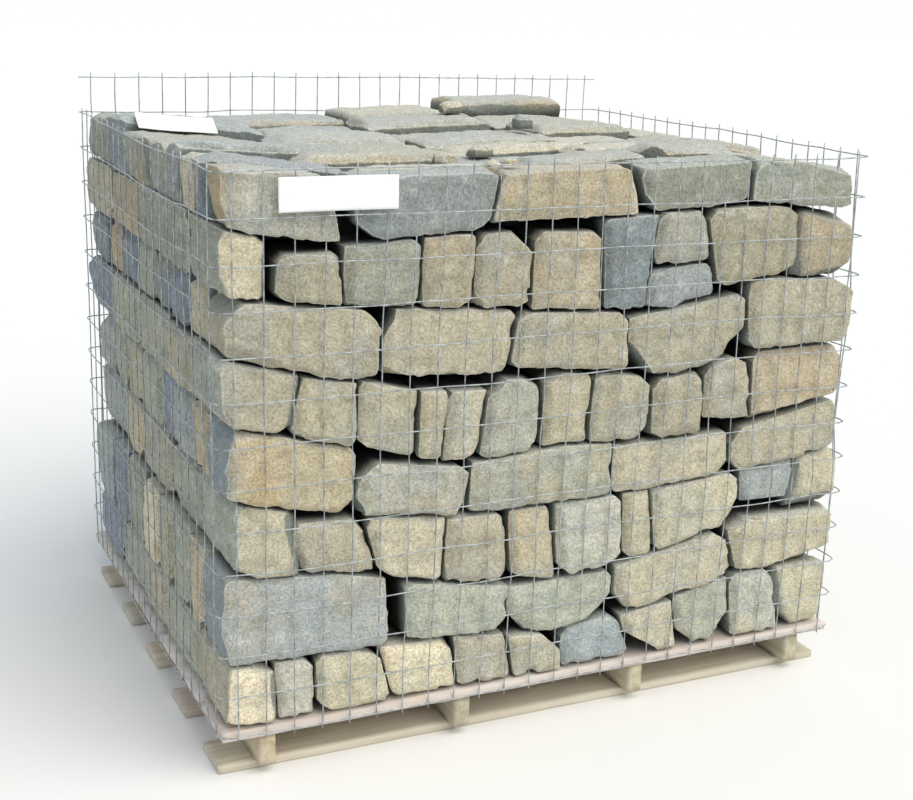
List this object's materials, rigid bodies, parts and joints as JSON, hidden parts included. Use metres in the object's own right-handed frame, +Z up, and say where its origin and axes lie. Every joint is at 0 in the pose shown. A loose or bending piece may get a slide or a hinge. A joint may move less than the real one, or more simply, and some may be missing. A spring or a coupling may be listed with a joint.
{
  "type": "pallet of walling stone",
  "caption": "Dry-stacked split sandstone walling blocks on a timber pallet, held on all sides by a sheet of galvanised welded mesh.",
  "frame": {"origin": "on the floor under the middle of the pallet", "axes": "+X along the front, to the right seen from the front; the front faces -Y; +Z up"},
  "size_m": [1.3106, 1.0606, 1.147],
  "materials": {
    "base_board_timber": "rough sawn, trodden and dusty",
    "stringer_timber": "rough sawn, weathered",
    "deck_timber": "rough sawn, weathered to a pinkish grey",
    "split_sandstone": "split and pitched faces, buff, grey-green and blue-grey",
    "core_stone": "hidden, plain",
    "galvanised_wire": "dull galvanised, weathered",
    "card": "plain white card, matt"
  },
  "bodies": {
    "root": {"bottom_boards": "base_board_timber", "stringer_1": "stringer_timber", "stringer_2": "stringer_timber", "stringer_3": "stringer_timber", "stringer_4": "stringer_timber", "deck_boards": "deck_timber", "course_1": "split_sandstone", "course_2": "split_sandstone", "course_3": "split_sandstone", "course_4": "split_sandstone", "course_5": "split_sandstone", "course_6": "split_sandstone", "course_7": "split_sandstone", "course_8": "split_sandstone", "loose_chips": "split_sandstone", "core": "core_stone", "mesh_front": "galvanised_wire", "mesh_back": "galvanised_wire", "mesh_left": "galvanised_wire", "mesh_right": "galvanised_wire", "front_card": "card", "top_card": "card"}
  },
  "joints": []
}
